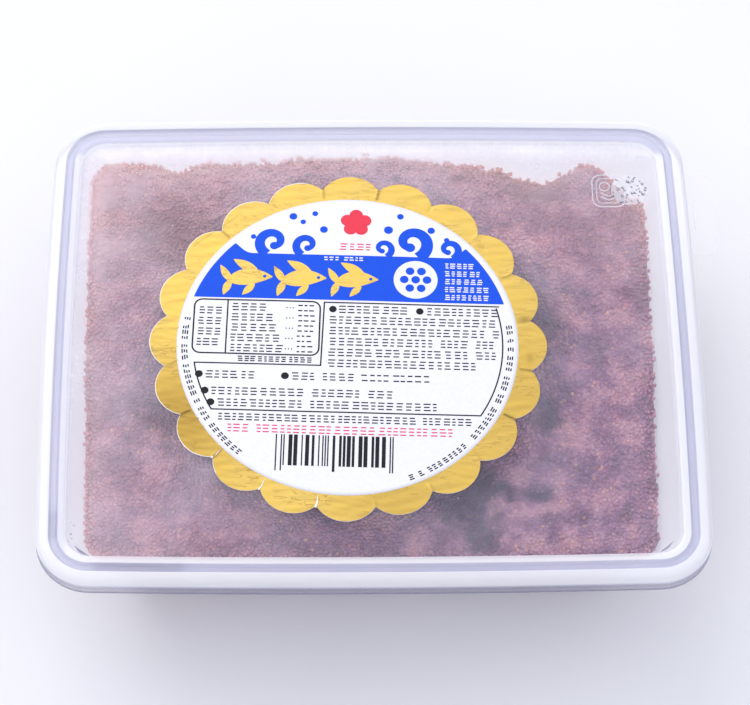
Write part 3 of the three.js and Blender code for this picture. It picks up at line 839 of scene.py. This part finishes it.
def blocks(x, y, width, height, turn=0.0, lift=0.05):
    # Rectangles of their own middle, size and turn
    x, y, width, height, turn = spread(x, y, width, height, turn)
    u = np.array([[-0.5, -0.5], [0.5, 0.5]]) * width
    v = np.array([[-0.5, 0.5], [-0.5, 0.5]]) * height
    cos, sin = np.cos(turn), np.sin(turn)
    return slabs(x + u * cos - v * sin, y + u * sin + v * cos, lift)


def ribbon(path, width, lift=0.05, lay=slabs):
    # A line of even or changing width along a path
    path, width = finerPath(path, width)
    along = np.gradient(path, axis=0)
    along /= np.linalg.norm(along, axis=1)[:, None]
    side = stacked(-along[:, 1], along[:, 0]) * (width / 2)[:, None]
    grid = np.stack([path + side, path - side], axis=1)
    return lay(grid[None, :, :, 0], grid[None, :, :, 1], lift)


def discs(x, y, radius, lift=0.05, steps=20, lay=slabs):
    # Round spots: a narrow strip from side to side, as high as the circle at each place
    x, y, radius = spread(x, y, radius)
    turn = np.linspace(0.02, math.pi - 0.02, steps)[:, None]
    return lay(x - np.cos(turn) * (1, 1) * radius, y + np.sin(turn) * (-1, 1) * radius, lift)


def polyline(points, width):
    # Straight lines from point to point, each a little longer so that the corners close
    points, _ = finerPath(points, width)
    step = np.diff(points, axis=0)
    middle = (points[1:] + points[:-1]) / 2
    return blocks(*middle.T, np.linalg.norm(step, axis=1) + width * 0.9, width,
                  np.arctan2(step[:, 1], step[:, 0]))


def arcPath(middle, radius, start, end, steps=30):
    turn = np.radians(np.linspace(start, end, steps))
    return stacked(middle[0] + radius * np.cos(turn), middle[1] + radius * np.sin(turn))


def roundedBox(low, high, radius):
    left, right, near, far = low[0] + radius, high[0] - radius, low[1] + radius, high[1] - radius
    middles = ((right, far), (left, far), (left, near), (right, near))
    path = [arcPath(middle, radius, 90 * k, 90 * k + 90, 6) for k, middle in enumerate(middles)]
    return np.concatenate([*path, path[0][:1]])


def smallPrint(x0, x1, y, height, pitch, rules=3, word=(3, 8), lift=0.05):
    # A line of small print as stacks of short rules, one stack for each sign, in groups
    x, middles, lows, widths = x0, [], [], []
    while x < x1 - pitch * 0.5:
        for _ in range(printDraw.integers(*word)):
            if x > x1 - pitch * 0.5:
                break
            wide = pitch * printDraw.choice([0.6, 0.86, 0.86])
            for k in range(rules):
                left, right = printDraw.uniform(0, 0.22, 2) * wide
                middles.append(x + (left + wide - right) / 2)
                widths.append(wide - left - right)
                lows.append(height * (k / (rules - 1) - 0.5) * 0.8)
            x += wide + pitch * 0.14
        x += pitch * printDraw.choice([0.1, 0.2, 0.7])
    return blocks(middles, y + np.array(lows), widths, 0.33 if rules > 2 else 0.36, 0.0, lift)


def curvedPrint(radius, start, end, height):
    # The same along a circle about the disc's middle, three rules to a sign, angles in degrees
    angle, places, radii, lengths = start, [], [], []
    while end - angle > 1.2:
        wide = printDraw.uniform(0.9, 1.5)
        for level in (-0.36, 0.0, 0.36):
            places.append(angle + math.degrees(wide / radius) / 2 + printDraw.uniform(-0.2, 0.2))
            radii.append(radius + level * height)
            lengths.append(wide * printDraw.uniform(0.55, 1.0))
        angle += math.degrees((wide + printDraw.choice([0.4, 0.4, 0.4, 1.3])) / radius)
    places, radii = np.radians(places), np.array(radii)
    return blocks(radii * np.cos(places), radii * np.sin(places), lengths, 0.33, places + math.pi / 2)


def printingInk(name, rough=0.38):
    # Offset ink on coated paper: even colour with a slight grain, satin
    add = startMaterial(name + "OffsetInk")
    grain = add("TexNoise", {"Vector": add("TexCoord", out="Object"), "Scale": 1 / 0.0012, "Detail": 2.0})
    value = add("ValToRGB", {0: grain}, stops=[(0.3, 0.94), (0.7, 1.0)])
    shade = add("HueSaturation", {"Color": ink[name], "Value": value})
    skin = add("BsdfPrincipled", {"Base Color": shade, "Roughness": rough, "Specular IOR Level": 0.15})
    return add("OutputMaterial", {"Surface": skin})


def addPrint(name, material, parts):
    points, faces = joined(parts)
    addPiece(name, points, [faces], [material], sharp=40)


# White disc
discTurn = np.linspace(0, 2 * math.pi, 200, endpoint=False)
discRadii = np.linspace(0, ink["discRadius"], 46)[1:, None]
discX = ink["discMiddle"][0] + discRadii * np.cos(discTurn)
discY = ink["discMiddle"][1] + discRadii * np.sin(discTurn)
discTop = stacked(discX, discY, sealTop(discX, discY) + 0.025)
discPoints, discFaces = closedRings(np.concatenate([discTop - (0, 0, ink["film"]), discTop[::-1]]))
addPiece("sealDisc", discPoints, discFaces, [whitePaper("labelPaperCoated", "#d0d0da", 0.34)],
         sharp=None)


def seaCrest(x, y, size, side):
    # A curling crest: a spiral whose radius and width shrink as it turns over, with a round tip
    turn = np.radians(np.linspace(248, -75, 60))
    share = np.linspace(0, 1, 60)
    radius = size * (0.74 - 0.5 * share ** 0.8)
    path = stacked(x + side * (0.3 * size + radius * np.cos(turn)),
                   y + 0.66 * size + radius * np.sin(turn))
    return [ribbon(path, size * (0.5 - 0.2 * share)), discs(*path[-1], size * 0.2)]


def flyingFish(x, y, length, lean):
    # Body a spindle, tail two tapering lobes, one long raised fin and a low one: each a ribbon
    # along its path, in shares of the length
    t = np.linspace(0, 1, 26)
    taper = np.clip(np.sin(math.pi * (0.12 + 0.86 * t)), 0.03, 1)
    parts = [
        (-0.4 + 0.86 * t, 0.05 * np.sin(t * math.pi),
         0.36 * np.sin(math.pi * np.clip(t, 0.03, 0.985) ** 0.85) ** 0.8),
        (-0.34 - 0.16 * t, 0.36 * t ** 1.1, 0.15 * taper),
        (-0.34 - 0.16 * t, -0.85 * 0.36 * t ** 1.1, 0.15 * taper),
        (0.2 - 0.44 * t, 0.08 + 0.38 * t ** 0.8, 0.2 * taper),
        (0.1 - 0.24 * t, -0.12 - 0.22 * t, 0.14 * taper),
    ]
    cos, sin = length * math.cos(lean), length * math.sin(lean)
    return [ribbon(stacked(x + u * cos - v * sin, y + u * sin + v * cos), length * width, 0.08)
            for u, v, width in parts]


# Blue sea: a band across the disc, its upper edge swept up at both ends, crests and spray above
seaX = np.linspace(-41.2, 41.2, 420)
seaLow = 12.55
seaHigh = 26.0 + 3.2 * smoothStep((np.abs(seaX) - 24.5) / 6) ** 1.6
seaHigh = np.minimum(seaHigh, np.sqrt(np.maximum(41.3 ** 2 - seaX ** 2, 0)))
keep = seaHigh > seaLow + 0.05
seaX, seaHigh = seaX[keep, None], seaHigh[keep, None]
seaY = seaLow + (seaHigh - seaLow) * np.linspace(1, 0, 14)
badgeX, badgeY = 16.8, 19.2
sprayX = [-25.0, -15.0, -12.4, -7.0, 9.6, 12.6, 20.6, 24.6, -9.4]
sprayY = [31.0, 37.4, 35.8, 33.6, 34.0, 38.2, 34.2, 31.4, 38.4]
sprayR = [0.7, 1.0, 0.7, 1.0, 1.15, 0.85, 0.95, 0.7, 0.75]
blueParts = [slabs(np.broadcast_to(seaX, seaY.shape)[None], seaY[None], 0.05),
             discs(sprayX, sprayY, sprayR)]
crests = ((-21.6, 5.6, 1), (-12.6, 4.4, 1), (17.6, 6.6, -1), (26.4, 4.0, -1), (9.4, 3.6, -1))
for crestX, size, side in crests:
    blueParts += seaCrest(crestX, 26.0, size, side)
blueParts.append(discs(badgeX + np.array([-2.9, 0, 2.9, -1.45, 1.45, -1.45, 1.45]),
                       badgeY + np.array([0, 0, 0, 2.5, 2.5, -2.5, -2.5]), 1.1, 0.13))
fishY, fishLean = 18.2, 0.12
goldParts = []
for fishX, length in ((-25.8, 13.4), (-12.1, 13.4), (1.4, 12.8)):
    goldParts += flyingFish(fishX, fishY, length, fishLean)
    blueParts.append(discs(fishX + 0.31 * length, fishY + 0.065 * length, 0.42, 0.12))
addPrint("sealBluePrint", printingInk("blue"), blueParts)
addPrint("sealGoldPrint", foil, goldParts)
addPrint("sealWhitePrint", printingInk("white"), [
    discs(badgeX, badgeY, 5.6, 0.09, 40),
    *[smallPrint(24.2, 32.6 + 0.9 * k, 23.6 - 2.35 * k, 1.5, 1.7, lift=0.09) for k in range(5)],
    smallPrint(-6.8, 3.4, 24.9, 0.9, 1.4, 2, lift=0.11),
])

# Red blossom with five petals, and rows in red
petal = np.radians(90 + 72 * np.arange(5))
blossomX, blossomY = 1.2, 35.9
addPrint("sealRedPrint", printingInk("red"), [
    discs(blossomX + 2.3 * np.cos(petal), blossomY + 2.3 * np.sin(petal), 1.75, 0.05, 24),
    discs(blossomX, blossomY, 1.2)])
addPrint("sealRosePrint", printingInk("rose"), [
    smallPrint(-2.8, 5.6, 28.6, 2.0, 2.4), smallPrint(-29.2, 28.0, -25.0, 2.3, 2.1)])

# Black rules, rows and bars
blackParts = [
    ribbon(roundedBox((-39.0, -3.8), (-7.2, 11.9), 2.0), 0.4),
    polyline([(-30.6, -3.8), (-30.6, 11.9)], 0.36),
    polyline([(-38.2, -6.65), (-6.6, -6.65), (-6.2, 11.8), (37.9, 11.8)], 0.36),
    polyline([(33.4, -19.9), (-33.3, -19.9)], 0.36),
    ribbon(arcPath((0, 0), 39.0, 16.9, -30.8), 0.36),
    ribbon(arcPath((0, 0), 38.8, 189.8, 210.9), 0.36),
]
blackParts += [smallPrint(-38.0, -31.2, 8.7 - 3.1 * k, 2.1, 2.1) for k in range(4)]
for y in 9.9 - 3.0 * np.arange(5):
    end = printDraw.choice([-19.0, -17.0, -20.5])
    blackParts += [smallPrint(-29.6, end, y, 2.2, 2.3), discs([-15.6, -14.8, -14.0], y, 0.17),
                   smallPrint(-12.9, -8.4, y, 1.9, 1.6, 2, word=(4, 6))]
blackParts.append(smallPrint(-27.5, -8.0, -5.2, 1.5, 1.6))
blackParts += [smallPrint(start, end, 9.85 - 3.15 * k, 2.25, 2.25) for k, (start, end) in enumerate(
    ((-2.6, 14.6), (-4.8, 37.6), (-4.8, 37.8), (-4.8, 38.0), (-4.8, 37.8), (-4.8, 34.4)))]
blackParts += [smallPrint(19.8, 37.4, 9.85, 2.25, 2.25), discs([-4.0, 18.0], 9.85, 0.95)]
for y, x0, x1 in ((-9.9, -36.9, -22.5), (-9.9, -15.4, 2.0), (-14.6, -35.2, 11.0), (-17.9, -33.6, 23.6)):
    blackParts += [discs(x0, y, 0.98), smallPrint(x0 + 1.6, x1, y, 2.2, 2.25)]
blackParts += [smallPrint(3.6, 20.4, -9.9, 1.9, 2.0, 2, word=(4, 5)),
               smallPrint(-31.5, 31.8, -21.9, 2.0, 1.95)]
barX, barStep, bars = -17.0, 0.32, []
while barX < 11.8:
    width = barStep * printDraw.integers(1, 4)
    bars.append((barX + width / 2, width))
    barX += width + barStep * printDraw.integers(1, 4)
barX, barWidth = np.array(bars).T
long = (np.abs(barX + 16.4) < 1.2) | (np.abs(barX + 2.6) < 0.8) | (barX > 10.6)
blackParts.append(blocks(barX, np.where(long, -31.55, -30.8), barWidth, np.where(long, 10.1, 8.6)))
blackParts += [curvedPrint(41.0, start, end, 1.6)
               for start, end in ((171, 203), (205, 233), (293, 318), (320, 369))]
addPrint("sealBlackPrint", printingInk("black", 0.45), blackParts)
print("print made")

# Three small tears show the paper between petals, in the print's own turned frame
tearParts = []
for angle, wide in ((223.8, 0.3), (241.8, 0.38), (259.8, 0.55)):
    along = np.linspace(47.0, 43.6, 8)
    turn = math.radians(angle) + 0.002 * np.sin(along * 2.1)
    x = seal["middle"][0] - ink["discMiddle"][0] + along * np.cos(turn)
    y = seal["middle"][1] - ink["discMiddle"][1] + along * np.sin(turn)
    cos, sin = math.cos(-ink["turn"]), math.sin(-ink["turn"])
    tearParts.append(ribbon(stacked(x * cos - y * sin, x * sin + y * cos),
                            np.interp(along, (43.8, 46.9), (0.1, wide)), 0.1))
addPrint("sealTornPaper", cutEdge, tearParts)


marks = {
    "stroke": 0.28, "low": (57.8, 40.4), "high": (66.2, 50.2), "ring": (61.0, 46.6, 1.3),
    "patch": (67.4, 45.6, 4.7), "dotSeed": 61, "dots": 46, "dustSeed": 62, "dust": 40,
    # scratches: start, end, bend, width, milk
    "scratches": [
        (34, 43.5, 46, 41, 0.9, 0.2, 0.06), (-62, -42, -59, -47, -0.6, 0.16, 0.08),
        (-33, 45, -31.5, 40, 0.5, 0.3, 0.07), (60, -8, 66, -11, 0.3, 0.12, 0.06),
        (-40, -49, -33, -49.2, 0.3, 0.2, 0.06), (52, -40, 56, -43.5, 0.5, 0.16, 0.05),
        (-66, 5, -65.4, -14, 0.4, 0.5, 0.04)],
    "wetEdges": [(-72.4, -56.6, -68.8, -59.3, -0.5, 0.8), (69.0, -59.0, 72.2, -56.3, -0.3, 0.45)],
}


def panelSlabs(x, y, lift):
    # As slabs, but on the lid's panel and in its own upright frame
    face = panelTop + panelWarp(x, y)
    points = np.stack([stacked(x, y, face + lift), stacked(x, y, face - 0.05)], axis=1)
    return points.reshape(-1, 3), slabFaces(x.shape[1], x.shape[2], len(x))


def markLine(path):
    return ribbon(path, marks["stroke"], 0.12, panelSlabs)


def bentMark(startX, startY, endX, endY, bend, width, steps, blunt, lift):
    # A line that bends by 4 t (1 - t) times its bend, widest in the middle
    t = np.linspace(0, 1, steps)
    path = stacked(startX + (endX - startX) * t, startY + (endY - startY) * t + bend * 4 * t * (1 - t))
    return ribbon(path, width * np.sin(math.pi * np.clip(t, blunt, 1 - blunt)), lift, panelSlabs)


# Moulded into the panel: an outlined rounded mark with a ring and a chevron, a frosted patch
# with small domes drawn darker as painted shade and each with a painted highlight, a few
# scratches, and specks and wet edges at the near corners. Each part has its milk and its tint.
markParts = []
for inset, milk in ((0, 0.42), (1.1, 0.3)):
    low, high = np.array(marks["low"]) + inset, np.array(marks["high"]) - inset
    markParts.append((markLine(roundedBox(low, high, 2.2 - 0.6 * inset)), milk, 0.5))
ringX, ringY, ringRadius = marks["ring"]
markParts.append((markLine(arcPath((ringX, ringY), ringRadius, 0, 360)), 0.4, 0.5))
for y in (42.4, 43.6):
    markParts.append((markLine([(60.0, y + 1.1), (62.0, y), (64.0, y + 1.1)]), 0.4, 0.5))
patchX, patchY, patchRadius = marks["patch"]
markParts.append((discs(patchX, patchY, patchRadius, 0.04, 40, panelSlabs), 0.3, 0.5))
dotDraw, dots = np.random.default_rng(marks["dotSeed"]), marks["dots"]
dotTurn, dotOut = dotDraw.uniform(0, 2 * math.pi, dots), 4.5 * np.sqrt(dotDraw.uniform(0.05, 1, dots))
dotX, dotY = patchX + dotOut * np.cos(dotTurn), patchY + dotOut * np.sin(dotTurn)
dotRadius = dotDraw.uniform(0.16, 0.42, dots)
# painted shade: the domes are drawn dark; painted highlight: a smaller whiter spot off each dome's middle
markParts.append((discs(dotX, dotY, dotRadius, 0.1, 8, panelSlabs), 0.5, 1.0))
markParts.append((discs(dotX + 0.1, dotY + 0.12, dotRadius * 0.5, 0.13, 8, panelSlabs), 0.8, 0.5))
markParts += [(bentMark(*line, 14, 0.04, 0.03), milk, 0.5) for *line, milk in marks["scratches"]]
markParts += [(bentMark(*line, 10, 0.06, 0.05), 0.45, 1.0) for line in marks["wetEdges"]]
markParts.append((discs([-73.5, -73.2, -72.9, -74.0, -73.6], [-53.4, -54.6, -51.0, -55.2, -50.2],
                        [0.2, 0.13, 0.15, 0.12, 0.1], 0.05, 8, panelSlabs), 0.5, 1.0))
dust = np.random.default_rng(marks["dustSeed"]).uniform(-1, 1, (2, marks["dust"])) * [[74], [56]]
dustRadius = np.linspace(0.1, 0.2, marks["dust"])   # dust and dried drops
markParts.append((discs(dust[0], dust[1], dustRadius, 0.04, 8, panelSlabs), 0.45, 0.5))
markPoints, markFaces = joined([part for part, _, _ in markParts])
counts = [len(part[0]) for part, _, _ in markParts]
markMilk, markTint = [np.repeat([row[k] for row in markParts], counts) for k in (1, 2)]
addPiece("lidMarks", markPoints, [markFaces], [lidPlastic], {
    "fog": np.zeros(len(markPoints)), "milk": markMilk, "tint": markTint}, sharp=40)
print("marks made")
